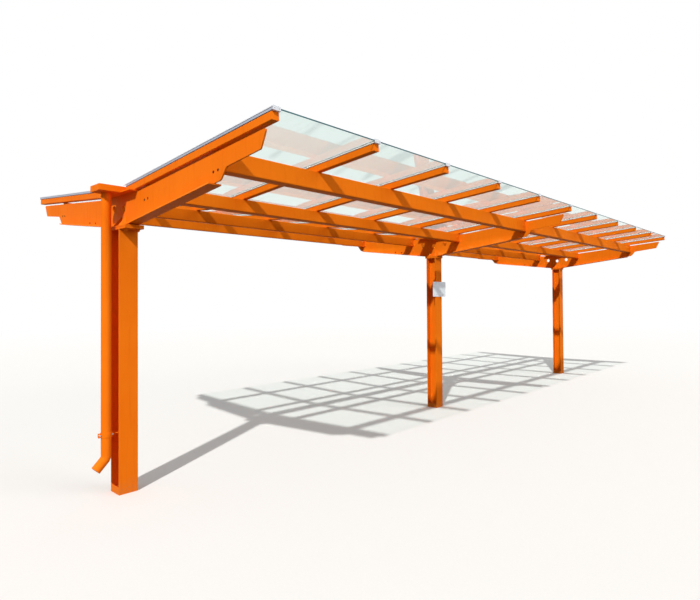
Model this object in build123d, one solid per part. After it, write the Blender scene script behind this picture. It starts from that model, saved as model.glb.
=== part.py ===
"""Bike shelter: three steel columns in a row, V-shaped cross arms and a butterfly glass roof.

Frame: +X runs along the row of columns, +Y towards the left wing, +Z up. The origin is the centre of
the middle column's foot, at ground level. All sizes are in millimetres and degrees.
"""
import math
import os

from build123d import *

# Row of frames
bay_length = 4700.0
panes_per_bay = 5
frame_names = ("near", "middle", "far")

# Column: broad flanged H-section with a cap plate
column_height = 2220.0
column_width = 160.0
column_depth = 160.0
column_web = 8.0
column_flange = 13.0
column_root_radius = 15.0
cap_plate_thickness = 16.0
head_plate_length = {"near": 386.0, "middle": 200.0, "far": 200.0}
foot_plate_height = 60.0
foot_plate_thickness = 6.0

# Cross arm: one web plate with a bottom flange on a base plate
base_plate_thickness = 16.0
arm_web = 12.0
arm_flange_width = 104.0
arm_flange_thickness = 10.0
arm_flange_angle = 6.91
arm_flange_root = 115.0
arm_flange_lap = 20.0
arm_flange_reach = 1385.0
arm_head_depth = 244.0
arm_reach = 1955.0
arm_nose_rise = 82.0
arm_nose_rake = 59.0
arm_nose_root = 1528.0
arm_step_foot = 1461.0
arm_step_foot_radius = 40.0
arm_step_root_radius = 22.0
arm_tip_radius = 12.0
seat_plate_width = 150.0
head_hole_diameter = 62.0
head_hole_spacing = 193.0
head_hole_drop = 91.0
gusset_height = 88.0
gusset_foot = 70.0
gusset_thickness = 10.0
gusset_offset = 47.0

# Roof
roof_slope = 5.1
rafter_gap_over_arm = 18.0
rafter_width = 55.0
rafter_depth = 55.0
rafter_wall = 4.0
rafter_corner = 5.0
rafter_reach = 2037.0
rafter_seat_reach = 252.0
rafter_seat_height = 14.0

# Glazing: a bar on each rafter, the glass on its lips, and a cap over the joint
bar_width = 55.0
bar_base = 2.0
bar_lip = 3.0
bar_height = 10.0
bar_web = 6.0
bar_gutter_gap = 2.0
glass_thickness = 10.0
glass_eave_overhang = 8.0
glass_valley_overhang = 40.0
glass_bar_gap = 3.0
cap_width = 62.0
cap_height = 8.0
cap_wall = 2.5
cap_chamfer = 3.0
end_cap_thickness = 3.0

# Purlins: hollow sections closed by end plates against the arm webs
purlin_width = 80.0
purlin_depth = {"inner": 120.0, "outer": 150.0}
purlin_distance = {"inner": 403.0, "outer": 1402.0}
purlin_wall = 5.0
purlin_corner = 8.0
purlin_end_plate = 10.0

# Valley gutter
gutter_width = 180.0
gutter_depth = 51.0
gutter_wall = 3.0
gutter_near_projection = 248.0
gutter_far_projection = 60.0

# Downpipe and its clamp, on the near column
pipe_diameter = 80.0
pipe_wall = 2.5
pipe_stand_off = 155.0
pipe_bend_height = 313.0
pipe_bend_radius = 50.0
shoe_angle = 44.0
shoe_length = 122.0
clamp_centre_height = 505.0
clamp_band_width = 36.0
clamp_band_thickness = 4.0
clamp_lug_reach = 24.0
clamp_lug_thickness = 5.0
clamp_lug_gap = 8.0
clamp_bar_diameter = 12.0
clamp_pad_size = 40.0
clamp_pad_thickness = 6.0

# Places worked out from the sizes above
slope_rise = math.tan(math.radians(roof_slope))
slope_stretch = 1 / math.cos(math.radians(roof_slope))
head_top = column_height + cap_plate_thickness + base_plate_thickness
arm_top_at_valley = head_top + arm_head_depth
pane_pitch = bay_length / panes_per_bay
frame_x = {name: (index - 1) * bay_length for index, name in enumerate(frame_names)}
rafter_count = panes_per_bay * (len(frame_names) - 1) + 1
glass_level = rafter_depth + bar_height
cap_level = glass_level + glass_thickness
glass_start = gutter_width / 2 - glass_valley_overhang
glass_end = rafter_reach + glass_eave_overhang


def arm_top(y):
    """Height of the arm web's top edge at a distance y from the valley."""
    return arm_top_at_valley + slope_rise * y


def rafter_underside(y):
    """Height of the rafters' underside, which is also the purlins' top, at a distance y."""
    return arm_top(y) + rafter_gap_over_arm


def flange_underside(y):
    """Height of the arm flange's underside, which leaves the base plate's top at the flange's root."""
    return head_top + math.tan(math.radians(arm_flange_angle)) * (y - arm_flange_root)


gutter_top = rafter_underside(gutter_width / 2) + rafter_depth * slope_stretch
gutter_bottom = gutter_top - gutter_depth
rafter_seat_z = rafter_underside(gutter_width / 2) + rafter_seat_height


def rafter_x(index):
    return frame_x["near"] + index * pane_pitch


def box_between(low, high):
    """A box from its lowest to its highest corner."""
    size = [b - a for a, b in zip(low, high)]
    return Pos(*low) * Box(*size, align=(Align.MIN, Align.MIN, Align.MIN))


def plate_across(face, thickness):
    """A plate centred on x = 0, from its outline as a sketch in y and z."""
    start = Plane(origin=(-thickness / 2, 0, 0), x_dir=(0, 1, 0), z_dir=(1, 0, 0))
    return extrude(start * face, thickness)


def outline_face(*points):
    return make_face(Polyline(*points, close=True))


def wing(part, side):
    """The part as drawn for the left wing, or its mirror image for the right wing."""
    return part if side == "left" else mirror(part, about=Plane.XZ)


def wing_plane(distance):
    """The plane of the rafters' underside on the left wing, with its origin at a distance from the valley."""
    return Pos(0, distance, rafter_underside(distance)) * Rot(roof_slope, 0, 0)


def along_slope(y, level):
    """Distance up the left wing to a point y from the valley, level above the rafters' underside."""
    return y * slope_stretch + level * slope_rise


def column(name):
    """H-section column with its cap plate and the low closing plates between the flange tips."""
    inner_depth = column_depth - 2 * column_flange
    notch_width = (column_width - column_web) / 2
    notch = RectangleRounded(2 * notch_width, inner_depth, column_root_radius)
    section = Rectangle(column_width, column_depth)
    for side in (-1, 1):
        section -= Pos(side * (column_web / 2 + notch_width), 0) * notch
    shaft = extrude(section, column_height)
    for side in (-1, 1):
        plate_x = side * (column_width - foot_plate_thickness) / 2
        low = (plate_x - foot_plate_thickness / 2, -inner_depth / 2, 0)
        high = (plate_x + foot_plate_thickness / 2, inner_depth / 2, foot_plate_height)
        shaft += box_between(low, high)
    cap_size = (column_width, head_plate_length[name], cap_plate_thickness)
    cap = Box(*cap_size, align=(Align.CENTER, Align.CENTER, Align.MIN))
    return Pos(frame_x[name], 0, 0) * (shaft + Pos(0, 0, column_height) * cap)


def arm_web_outline():
    """The web's outline on the left of the valley: raised head, top edge, raked tip, nose, step and foot.

    The raised head is level and carries the gutter, and the seat plates of the rafters beside it.
    """
    nose_foot = arm_reach - arm_nose_rake
    flange_start = arm_flange_root - arm_flange_lap
    rounded_corners = [
        ((arm_reach, arm_top(arm_reach)), arm_tip_radius),
        ((nose_foot, flange_underside(nose_foot) + arm_nose_rise), arm_tip_radius),
        ((arm_nose_root, flange_underside(arm_nose_root) + arm_nose_rise), arm_step_root_radius),
        ((arm_step_foot, flange_underside(arm_step_foot) + arm_flange_thickness), arm_step_foot_radius),
    ]
    face = outline_face(
        (0, gutter_bottom),
        (rafter_seat_reach, gutter_bottom),
        (rafter_seat_reach, arm_top(rafter_seat_reach)),
        *[point for point, radius in rounded_corners],
        (flange_start, flange_underside(flange_start) + arm_flange_thickness),
        (flange_start, head_top),
        (0, head_top),
    )
    for point, radius in rounded_corners:
        corner = face.vertices().sort_by_distance(Vector(*point, 0))[0]
        face = fillet(corner, radius)
    return face


def arm_flange():
    """The flange under the left half of the web, its root let into the base plate."""
    start = arm_flange_root - arm_flange_lap
    end = arm_flange_reach
    section = outline_face(
        (start, flange_underside(start)),
        (end, flange_underside(end)),
        (end, flange_underside(end) + arm_flange_thickness),
        (start, flange_underside(start) + arm_flange_thickness),
    )
    return plate_across(section, arm_flange_width)


def arm_gusset():
    """A small triangular plate between the web and the base plate."""
    web_face = arm_web / 2
    triangle = outline_face(
        (web_face, head_top), (web_face + gusset_foot, head_top), (web_face, head_top + gusset_height)
    )
    start = Plane(origin=(0, gusset_offset + gusset_thickness / 2, 0), x_dir=(1, 0, 0), z_dir=(0, -1, 0))
    return extrude(start * triangle, gusset_thickness)


def cross_arm(name, hole_places):
    """V-shaped cross arm: web plate, two flanges, base plate, gussets and seat plates, welded into one."""
    gusset = arm_gusset()
    base_low = (-column_width / 2, 0, head_top - base_plate_thickness)
    base_high = (column_width / 2, head_plate_length[name] / 2, head_top)
    half = plate_across(arm_web_outline(), arm_web) + arm_flange()
    half += gusset + mirror(gusset, about=Plane.YZ) + box_between(base_low, base_high)
    half += box_between(
        (-seat_plate_width / 2, gutter_width / 2, gutter_bottom),
        (seat_plate_width / 2, rafter_seat_reach, rafter_seat_z),
    )
    arm = half + mirror(half, about=Plane.XZ)
    for place in hole_places:
        y = place * head_hole_spacing
        z = arm_top(abs(y)) - head_hole_drop
        drill = Plane(origin=(0, y, z), z_dir=(1, 0, 0)) * Cylinder(head_hole_diameter / 2, 3 * arm_web)
        arm -= drill
    return Pos(frame_x[name], 0, 0) * arm


def purlin(bay_start, row):
    """One purlin of the left wing: a hollow section between two arm webs, its top under the rafters."""
    start = bay_start + arm_web / 2
    length = bay_length - arm_web
    depth = purlin_depth[row]
    outer = RectangleRounded(purlin_width, depth, purlin_corner)
    inner = Rectangle(purlin_width - 2 * purlin_wall, depth - 2 * purlin_wall)
    section = Pos(0, -depth / 2) * (outer - inner)
    end = Pos(0, -depth / 2) * outer
    across = Plane(origin=(0, 0, 0), x_dir=(0, 1, 0), z_dir=(1, 0, 0))
    tube = Pos(purlin_end_plate, 0, 0) * extrude(across * section, length - 2 * purlin_end_plate)
    near_plate = extrude(across * end, purlin_end_plate)
    far_plate = Pos(length - purlin_end_plate, 0, 0) * near_plate
    return Pos(start, 0, 0) * wing_plane(purlin_distance[row]) * (near_plate + tube + far_plate)


def rafter(x):
    """One rafter of the left wing: closed at the eave, cut at the valley to sit level against the gutter."""
    run = rafter_reach * slope_stretch
    outer = RectangleRounded(rafter_width, rafter_depth, rafter_corner)
    inner = Rectangle(rafter_width - 2 * rafter_wall, rafter_depth - 2 * rafter_wall)
    lift = Pos(0, 0, rafter_depth / 2)
    along = Plane(origin=(0, 0, 0), x_dir=(1, 0, 0), z_dir=(0, 1, 0))
    tube = extrude(along * (outer - inner), run - rafter_wall)
    end_plate = Pos(0, run - rafter_wall, 0) * extrude(along * outer, rafter_wall)
    bar = wing_plane(0) * lift * (tube + end_plate)
    margin = rafter_depth
    beyond_gutter = box_between(
        (-rafter_width, -margin, gutter_bottom - 2 * margin), (rafter_width, gutter_width / 2, gutter_top + margin)
    )
    under_seat = box_between(
        (-rafter_width, 0, rafter_seat_z - 2 * margin), (rafter_width, rafter_seat_reach, rafter_seat_z)
    )
    return Pos(x, 0, 0) * (bar - beyond_gutter - under_seat)


def rib_along_slope(section, y_start, y_end, level):
    """A section in x and z, its base level above the rafters' underside, run up the left wing."""
    start = along_slope(y_start, level)
    end = along_slope(y_end, level)
    along = Plane(origin=(0, end, level), x_dir=(1, 0, 0), z_dir=(0, -1, 0))
    return wing_plane(0) * extrude(along * section, end - start)


def glazing_bar(x, outer_side):
    """Glazing bar on a rafter: two lips under the glass edges and a web between them.

    On the roof's end rafters the lip on the outer side is as high as the glass and closes its edge.
    """
    web_height = bar_height + glass_thickness
    section = Pos(0, bar_base / 2) * Rectangle(bar_width, bar_base)
    section += Pos(0, web_height / 2) * Rectangle(bar_web, web_height)
    for side in (-1, 1):
        lip_height = web_height if side == outer_side else bar_height
        lip_x = side * (bar_width - bar_lip) / 2
        section += Pos(lip_x, lip_height / 2) * Rectangle(bar_lip, lip_height)
    start = gutter_width / 2 + bar_gutter_gap
    return Pos(x, 0, 0) * rib_along_slope(section, start, glass_end, rafter_depth)


def glass_pane(index):
    """One pane of the left wing, between the webs of two glazing bars."""
    edge = bar_web / 2 + glass_bar_gap
    low = (rafter_x(index) + edge, along_slope(glass_start, glass_level), glass_level)
    high = (rafter_x(index + 1) - edge, along_slope(glass_end, glass_level), cap_level)
    return wing_plane(0) * box_between(low, high)


def glazing_cap(x):
    """Pressed cap strip over a glazing bar, with a plate that closes the bar's end at the eave."""
    half = cap_width / 2
    shoulder = half - cap_chamfer
    inside = half - cap_wall
    section = outline_face(
        (-half, 0), (-inside, 0), (-inside, cap_height - cap_wall), (inside, cap_height - cap_wall), (inside, 0),
        (half, 0), (half, cap_height - cap_chamfer), (shoulder, cap_height), (-shoulder, cap_height),
        (-half, cap_height - cap_chamfer),
    )
    end = along_slope(glass_end, cap_level)
    strip = rib_along_slope(section, glass_start, glass_end, cap_level)
    end_cap = wing_plane(0) * box_between(
        (-half, end, rafter_depth), (half, end + end_cap_thickness, cap_level + cap_height)
    )
    return Pos(x, 0, 0) * (strip + end_cap)


def valley_gutter():
    """Open trough between the rafters' lower ends, closed at both ends, with the downpipe's outlet."""
    start = frame_x["near"] - gutter_near_projection
    end = frame_x["far"] + gutter_far_projection
    half = gutter_width / 2
    trough = box_between((start, -half, gutter_bottom), (end, half, gutter_top))
    hollow = box_between(
        (start + gutter_wall, gutter_wall - half, gutter_bottom + gutter_wall),
        (end - gutter_wall, half - gutter_wall, gutter_top + gutter_wall),
    )
    outlet = Cylinder(pipe_diameter / 2 - pipe_wall, 4 * gutter_wall)
    return trough - hollow - Pos(frame_x["near"] - pipe_stand_off, 0, gutter_bottom) * outlet


def downpipe():
    """Round pipe down from the gutter, a tight elbow and a straight shoe, three lengths open right through."""
    x = frame_x["near"] - pipe_stand_off
    angle = math.radians(shoe_angle)
    top = (x, 0, gutter_bottom)
    bend = (x, 0, pipe_bend_height)
    mouth = (x - shoe_length * math.sin(angle), 0, pipe_bend_height - shoe_length * math.cos(angle))
    ring = Circle(pipe_diameter / 2) - Circle(pipe_diameter / 2 - pipe_wall)
    run = FilletPolyline(top, bend, mouth, radius=pipe_bend_radius)
    return [sweep(Plane(origin=length @ 0, z_dir=length % 0) * ring, path=length) for length in run.edges()]


def pipe_clamp():
    """Band in two halves round the downpipe, with lugs before and behind and a bar to a pad on the column's web."""
    pipe_radius = pipe_diameter / 2
    band = Cylinder(pipe_radius + clamp_band_thickness, clamp_band_width)
    lug = Box(clamp_lug_reach, clamp_lug_thickness, clamp_band_width)
    for side in (-1, 1):
        for half in (-1, 1):
            lug_y = half * (clamp_lug_gap + clamp_lug_thickness) / 2
            band += Pos(side * (pipe_radius + clamp_lug_reach / 2), lug_y, 0) * lug
    web_face = pipe_stand_off - column_web / 2
    bar_start = pipe_radius + clamp_band_thickness / 2
    across = Plane(origin=(0, 0, 0), z_dir=(1, 0, 0))
    bar = Pos(bar_start, 0, 0) * extrude(across * Circle(clamp_bar_diameter / 2), web_face - bar_start)
    pad = extrude(across * Rectangle(clamp_pad_size, clamp_pad_size), clamp_pad_thickness)
    band += bar + Pos(web_face - clamp_pad_thickness, 0, 0) * pad
    band -= Cylinder(pipe_radius, 2 * clamp_band_width)
    return Pos(frame_x["near"] - pipe_stand_off, 0, clamp_centre_height) * band


def frame_nodes():
    """The three columns and the cross arms on them; the near arm lacks the right-hand hole."""
    nodes = {}
    hole_places = {"near": (0, 1), "middle": (-1, 0, 1), "far": (-1, 0, 1)}
    for name in frame_names:
        nodes[f"column_{name}"] = [column(name)]
        nodes[f"cross_arm_{name}"] = [cross_arm(name, hole_places[name])]
    return nodes


def wing_nodes(side):
    """Purlins, rafters and glazing of one wing."""
    nodes = {}
    for bay, start in (("near", frame_x["near"]), ("far", frame_x["middle"])):
        for row in ("inner", "outer"):
            nodes[f"purlin_{side}_{row}_{bay}_bay"] = [wing(purlin(start, row), side)]
    bars, caps = [], []
    last = rafter_count - 1
    for index in range(rafter_count):
        x = rafter_x(index)
        outer_side = {0: -1, last: 1}.get(index, 0)
        nodes[f"rafter_{side}_{index + 1:02d}"] = [wing(rafter(x), side)]
        bars.append(wing(glazing_bar(x, outer_side), side))
        caps.append(wing(glazing_cap(x), side))
    nodes[f"glazing_bars_{side}"] = bars
    nodes[f"roof_glass_{side}"] = [wing(glass_pane(index), side) for index in range(last)]
    nodes[f"glazing_caps_{side}"] = caps
    return nodes


def assembly():
    """Every node by name: a solid, or several solids that don't touch."""
    rain_nodes = {
        "valley_gutter": [valley_gutter()],
        "downpipe": downpipe(),
        "pipe_clamp": [pipe_clamp()],
    }
    return {**frame_nodes(), **wing_nodes("left"), **wing_nodes("right"), **rain_nodes}


def main():
    os.makedirs("parts", exist_ok=True)
    for name, solids in assembly().items():
        shape = solids[0] if len(solids) == 1 else Compound(children=solids)
        export_step(shape, f"parts/{name}.step")


if __name__ == "__main__":
    main()
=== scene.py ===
import math

import bmesh
import bpy
from mathutils import Matrix, Vector


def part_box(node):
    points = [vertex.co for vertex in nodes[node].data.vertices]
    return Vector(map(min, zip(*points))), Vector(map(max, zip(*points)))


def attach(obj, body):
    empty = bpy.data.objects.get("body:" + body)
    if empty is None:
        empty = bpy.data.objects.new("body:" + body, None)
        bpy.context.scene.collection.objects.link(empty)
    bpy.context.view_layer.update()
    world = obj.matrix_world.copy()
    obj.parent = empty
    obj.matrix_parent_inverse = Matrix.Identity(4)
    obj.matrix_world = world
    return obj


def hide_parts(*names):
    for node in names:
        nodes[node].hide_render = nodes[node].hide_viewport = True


# Bike shelter: orange powder coated steel, clear glass roof, aluminium glazing bars and caps.
# Everything is in metres, +X along the row of columns, +Y towards the left wing, +Z up.

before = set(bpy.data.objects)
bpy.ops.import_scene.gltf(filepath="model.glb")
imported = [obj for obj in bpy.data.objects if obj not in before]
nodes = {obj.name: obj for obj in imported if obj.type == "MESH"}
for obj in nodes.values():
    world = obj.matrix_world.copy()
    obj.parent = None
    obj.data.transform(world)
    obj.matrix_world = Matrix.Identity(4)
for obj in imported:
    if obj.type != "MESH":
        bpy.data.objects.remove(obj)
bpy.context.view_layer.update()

MM = 0.001
FRAMES = ("near", "middle", "far")
SIDES = ("left", "right")
SIDE_SIGN = {"left": 1.0, "right": -1.0}
BAYS = ("near", "far")
RAFTERS = range(1, 12)

# Sizes of the steelwork that the small parts sit on
COLUMN_HALF = 80 * MM
FLANGE = 13 * MM
WEB_HALF = 6 * MM
ARM_FLANGE_HALF = 52 * MM
ARM_FLANGE_SLOPE = math.tan(math.radians(6.91))
ARM_FLANGE_ROOT = 115 * MM
ARM_FLANGE_LAP = 20 * MM
ARM_FLANGE_THICK = 10 * MM
ARM_FLANGE_REACH = 1385 * MM
ROOF_SLOPE = math.radians(5.1)
COLUMN_WEB_HALF = 4 * MM
COLUMN_ROOT = 15 * MM
HEAD_PLATE = 16 * MM
HEAD_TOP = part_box("column_near")[1].z + HEAD_PLATE
CAP_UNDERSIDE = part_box("column_near")[1].z - HEAD_PLATE
FRAME_X = {name: sum(v.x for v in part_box(f"column_{name}")) / 2 for name in FRAMES}
ARM_HEAD_DEPTH = 244 * MM
RAFTER_GAP_OVER_ARM = 18 * MM
GUSSET_FACE = 52 * MM
GUSSET_REACH = WEB_HALF + 70 * MM
GUSSET_HEIGHT = 88 * MM

# Glazing: levels square to the roof from the rafters' underside, sizes across a bar, distances out
BAR_FOOT = 55 * MM
GLASS_LOW = BAR_FOOT + 10 * MM
GLASS_TOP = GLASS_LOW + 10 * MM
CAP_TOP = GLASS_TOP + 8 * MM
BAR_HALF = 27.5 * MM
CAP_HALF = 31 * MM
CAP_START = 50 * MM
GLASS_END = 2045 * MM
END_PLATE = 3 * MM


def rafter_underside(y):
    """Height of the rafters' underside at y across the row."""
    return HEAD_TOP + ARM_HEAD_DEPTH + RAFTER_GAP_OVER_ARM + math.tan(ROOF_SLOPE) * abs(y)


def flange_top(y):
    """Height of the top face of an arm's bottom flange at y."""
    return HEAD_TOP + ARM_FLANGE_SLOPE * (abs(y) - ARM_FLANGE_ROOT) + ARM_FLANGE_THICK


def slope_normal(side):
    """Upward normal of a wing's roof plane."""
    return Vector((0, -SIDE_SIGN[side] * math.sin(ROOF_SLOPE), math.cos(ROOF_SLOPE)))


def slope_point(side, x, y, level):
    """A point on a wing: level is measured square to the roof from the rafters' underside."""
    base = Vector((x, SIDE_SIGN[side] * y, rafter_underside(y)))
    return base + slope_normal(side) * level


def square_end(level):
    """Distance out, for slope_point, of an eave end at this level that is cut square to the roof."""
    return GLASS_END + math.sin(ROOF_SLOPE) * level


def down_slope(side):
    """Direction from the valley out to the eave, in the roof plane."""
    return Vector((0, SIDE_SIGN[side] * math.cos(ROOF_SLOPE), math.sin(ROOF_SLOPE)))


# Node helpers


def add_node(tree, kind, **settings):
    """A node with the given settings of its own."""
    node = tree.nodes.new(kind)
    for name, value in settings.items():
        setattr(node, name, value)
    return node


def join(tree, value, target):
    """Link a socket to an input, or set the input to a number, a colour or a vector."""
    if isinstance(value, bpy.types.NodeSocket):
        tree.links.new(value, target)
    elif target.type == "RGBA":
        target.default_value = (*value, 1.0)
    else:
        target.default_value = value


def feed(tree, node, **values):
    """Join values to a node's inputs, named with underscores for spaces."""
    for name, value in values.items():
        join(tree, value, node.inputs[name.replace("_", " ")])


def place_of(tree):
    """Coordinates in metres, from the part's origin."""
    return add_node(tree, "ShaderNodeTexCoord").outputs["Object"]


def true_normal(tree):
    """The way a face looks, without any smoothing."""
    return add_node(tree, "ShaderNodeNewGeometry").outputs["True Normal"]


def z_of(tree, vector):
    """The upright part of a vector."""
    node = add_node(tree, "ShaderNodeSeparateXYZ")
    join(tree, vector, node.inputs[0])
    return node.outputs["Z"]


def maths(tree, operation, a, b=0.0, clamp=False):
    """One step of arithmetic on one or two values."""
    node = add_node(tree, "ShaderNodeMath", operation=operation, use_clamp=clamp)
    join(tree, a, node.inputs[0])
    join(tree, b, node.inputs[1])
    return node.outputs[0]


def span(tree, value, low, high, to_low=0.0, to_high=1.0, smooth=True):
    """Spread a value from one range to another."""
    node = add_node(tree, "ShaderNodeMapRange", interpolation_type="SMOOTHSTEP" if smooth else "LINEAR")
    feed(tree, node, Value=value, From_Min=low, From_Max=high, To_Min=to_low, To_Max=to_high)
    return node.outputs["Result"]


def noise(tree, vector, scale, detail=2.0, roughness=0.5):
    """A cloudy pattern from 0 to 1."""
    node = add_node(tree, "ShaderNodeTexNoise")
    feed(tree, node, Vector=vector, Scale=scale, Detail=detail, Roughness=roughness)
    return node.outputs["Fac"]


def stretched(tree, vector, scale):
    """The pattern's coordinates, stretched along one axis."""
    node = add_node(tree, "ShaderNodeMapping")
    feed(tree, node, Vector=vector, Scale=scale)
    return node.outputs["Vector"]


def bumped(tree, height, strength, distance):
    """A surface normal tilted by a height pattern."""
    node = add_node(tree, "ShaderNodeBump")
    feed(tree, node, Height=height, Strength=strength, Distance=distance)
    return node.outputs["Normal"]


def blend_colour(tree, mask, low, high):
    """A colour between two colours, by a mask."""
    node = add_node(tree, "ShaderNodeMix", data_type="RGBA")
    feed(tree, node, Factor=mask)
    sockets = [socket for socket in node.inputs if socket.type == "RGBA"]
    join(tree, low, sockets[0])
    join(tree, high, sockets[1])
    return next(socket for socket in node.outputs if socket.type == "RGBA")


def stain(tree, mark, amount, tone, colour):
    """Lay a colour over a tone by an amount of a mark."""
    return blend_colour(tree, maths(tree, "MULTIPLY", mark, amount), tone, colour)


def add_share(tree, total, mark, amount):
    """A total with an amount of a mark added, from 0 to 1."""
    return maths(tree, "ADD", total, maths(tree, "MULTIPLY", mark, amount), clamp=True)


def node_group(kind, name, inputs, outputs):
    """An empty group with named inputs and outputs, given as (name, kind, value)."""
    tree = bpy.data.node_groups.new(name, kind)
    for title, sort, value in inputs:
        socket = tree.interface.new_socket(title, in_out="INPUT", socket_type=f"NodeSocket{sort}")
        if value is not None:
            socket.default_value = value
    for title, sort in outputs:
        tree.interface.new_socket(title, in_out="OUTPUT", socket_type=f"NodeSocket{sort}")
    return tree, tree.nodes.new("NodeGroupInput").outputs, tree.nodes.new("NodeGroupOutput").inputs


def use_group(tree, group, **values):
    """A shared effect with the given inputs; returns its outputs."""
    node = add_node(tree, "ShaderNodeGroup", node_tree=group)
    feed(tree, node, **values)
    return node.outputs


# Shared effects


def build_edge_wear_and_highlight():
    """A mask of the outer edges, where handling and weather thin a finish; on the orange paint it also
    carries a painted edge highlight.
    """
    tree, inputs, outputs = node_group(
        "ShaderNodeTree",
        "edge wear and highlight",
        [("Radius", "Float", 0.004), ("Break up", "Float", 9.0), ("Amount", "Float", 1.0)],
        [("Mask", "Float")],
    )
    place = place_of(tree)
    soft = add_node(tree, "ShaderNodeBevel", samples=4)
    feed(tree, soft, Radius=inputs["Radius"])
    turn = add_node(tree, "ShaderNodeVectorMath", operation="DOT_PRODUCT")
    join(tree, soft.outputs["Normal"], turn.inputs[0])
    join(tree, true_normal(tree), turn.inputs[1])
    edge = span(tree, turn.outputs["Value"], 0.995, 0.86)
    patchy = span(tree, noise(tree, place, inputs["Break up"], 4.0, 0.65), 0.42, 0.68)
    mask = maths(tree, "MULTIPLY", maths(tree, "MULTIPLY", edge, patchy), inputs["Amount"], clamp=True)
    join(tree, mask, outputs["Mask"])
    return tree


def build_weather():
    """Masks for rain streaks, dust that settles on upward faces, and splashes just above the ground."""
    tree, inputs, outputs = node_group(
        "ShaderNodeTree",
        "weather",
        [("Streak width", "Float", 34.0), ("Splash height", "Float", 0.28)],
        [("Streaks", "Float"), ("Dust", "Float"), ("Splash", "Float"), ("Clouds", "Float")],
    )
    place = place_of(tree)
    lift = z_of(tree, true_normal(tree))
    upright = maths(tree, "SUBTRACT", 1.0, maths(tree, "ABSOLUTE", lift), clamp=True)
    long = stretched(tree, place, (1.0, 1.0, 0.07))
    streak = span(tree, noise(tree, long, inputs["Streak width"], 3.0, 0.6), 0.50, 0.72)
    join(tree, maths(tree, "MULTIPLY", streak, upright), outputs["Streaks"])
    join(tree, noise(tree, place, 2.3, 4.0, 0.55), outputs["Clouds"])
    settled = span(tree, lift, 0.55, 0.95)
    speckle = span(tree, noise(tree, place, 55.0, 5.0, 0.7), 0.35, 0.75)
    join(tree, maths(tree, "MULTIPLY", settled, speckle), outputs["Dust"])
    ragged = maths(tree, "MULTIPLY", noise(tree, place, 14.0, 4.0, 0.65), inputs["Splash height"])
    low = span(tree, z_of(tree, place), ragged, 0.0)
    spots = span(tree, noise(tree, place, 90.0, 4.0, 0.7), 0.38, 0.70)
    join(tree, maths(tree, "MULTIPLY", low, spots), outputs["Splash"])
    return tree


def build_skin():
    """A fine height pattern: orange peel in powder coat, or the tooth of a cast or moulded face."""
    tree, inputs, outputs = node_group(
        "ShaderNodeTree",
        "skin",
        [("Grain", "Float", 420.0), ("Strength", "Float", 0.25), ("Depth", "Float", 0.0004)],
        [("Normal", "Vector"), ("Height", "Float")],
    )
    place = place_of(tree)
    fine = noise(tree, place, inputs["Grain"], 2.0, 0.5)
    join(tree, bumped(tree, fine, inputs["Strength"], inputs["Depth"]), outputs["Normal"])
    join(tree, fine, outputs["Height"])
    return tree


def build_drawn_lines():
    """Fine parallel die lines along the slope of the roof, as on extruded aluminium."""
    tree, inputs, outputs = node_group(
        "ShaderNodeTree",
        "drawn lines",
        [("Lines", "Float", 900.0), ("Strength", "Float", 0.3)],
        [("Mask", "Float"), ("Normal", "Vector")],
    )
    place = place_of(tree)
    lines = noise(tree, stretched(tree, place, (1.0, 0.012, 1.0)), inputs["Lines"], 3.0, 0.6)
    join(tree, lines, outputs["Mask"])
    join(tree, bumped(tree, lines, inputs["Strength"], 0.0002), outputs["Normal"])
    return tree


edge_wear_and_highlight = build_edge_wear_and_highlight()
weather = build_weather()
skin = build_skin()
drawn_lines = build_drawn_lines()


# Materials


def new_material(name, **plain):
    """A material with one Principled shader; plain values go on the shader's own sockets."""
    material = bpy.data.materials.new(name)
    material.use_nodes = True
    tree = material.node_tree
    shader = tree.nodes["Principled BSDF"]
    feed(tree, shader, **plain)
    return material, tree, shader


def mix_shaders(tree, mask, low, high):
    """One shader where the mask is 0 and another where it is 1."""
    mixed = add_node(tree, "ShaderNodeMixShader")
    for socket, source in zip(mixed.inputs, (mask, low, high)):
        join(tree, source, socket)
    return mixed.outputs[0]


def orange_paint():
    """Satin orange powder coat, a little chalky on top, splashed near the ground, and lighter on its edges:
    partly rubbed thin, partly a painted edge highlight.
    """
    material, tree, shader = new_material("orange powder coat", Specular_IOR_Level=0.02)
    marks = use_group(tree, weather)
    edges = use_group(tree, edge_wear_and_highlight, Radius=0.0035, Amount=0.55)
    grain = use_group(tree, skin, Grain=380.0, Strength=0.18, Depth=0.0005)
    clouds = span(tree, marks["Clouds"], 0.30, 0.72)
    tone = blend_colour(tree, clouds, (0.870, 0.172, 0.005), (0.910, 0.196, 0.007))
    tone = stain(tree, marks["Streaks"], 0.16, tone, (0.64, 0.095, 0.004))
    tone = stain(tree, marks["Dust"], 0.22, tone, (0.62, 0.36, 0.17))
    tone = stain(tree, marks["Splash"], 0.45, tone, (0.34, 0.20, 0.11))
    # Lighter, yellower arrises: partly paint rubbed thin, partly a painted edge highlight
    tone = blend_colour(tree, edges["Mask"], tone, (0.97, 0.33, 0.06))
    rough = add_share(tree, 0.46, grain["Height"], 0.10)
    for mark, amount in (("Streaks", 0.10), ("Dust", 0.25), ("Splash", 0.30)):
        rough = add_share(tree, rough, marks[mark], amount)
    feed(tree, shader, Base_Color=tone, Roughness=rough, Normal=grain["Normal"])
    return material


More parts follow.
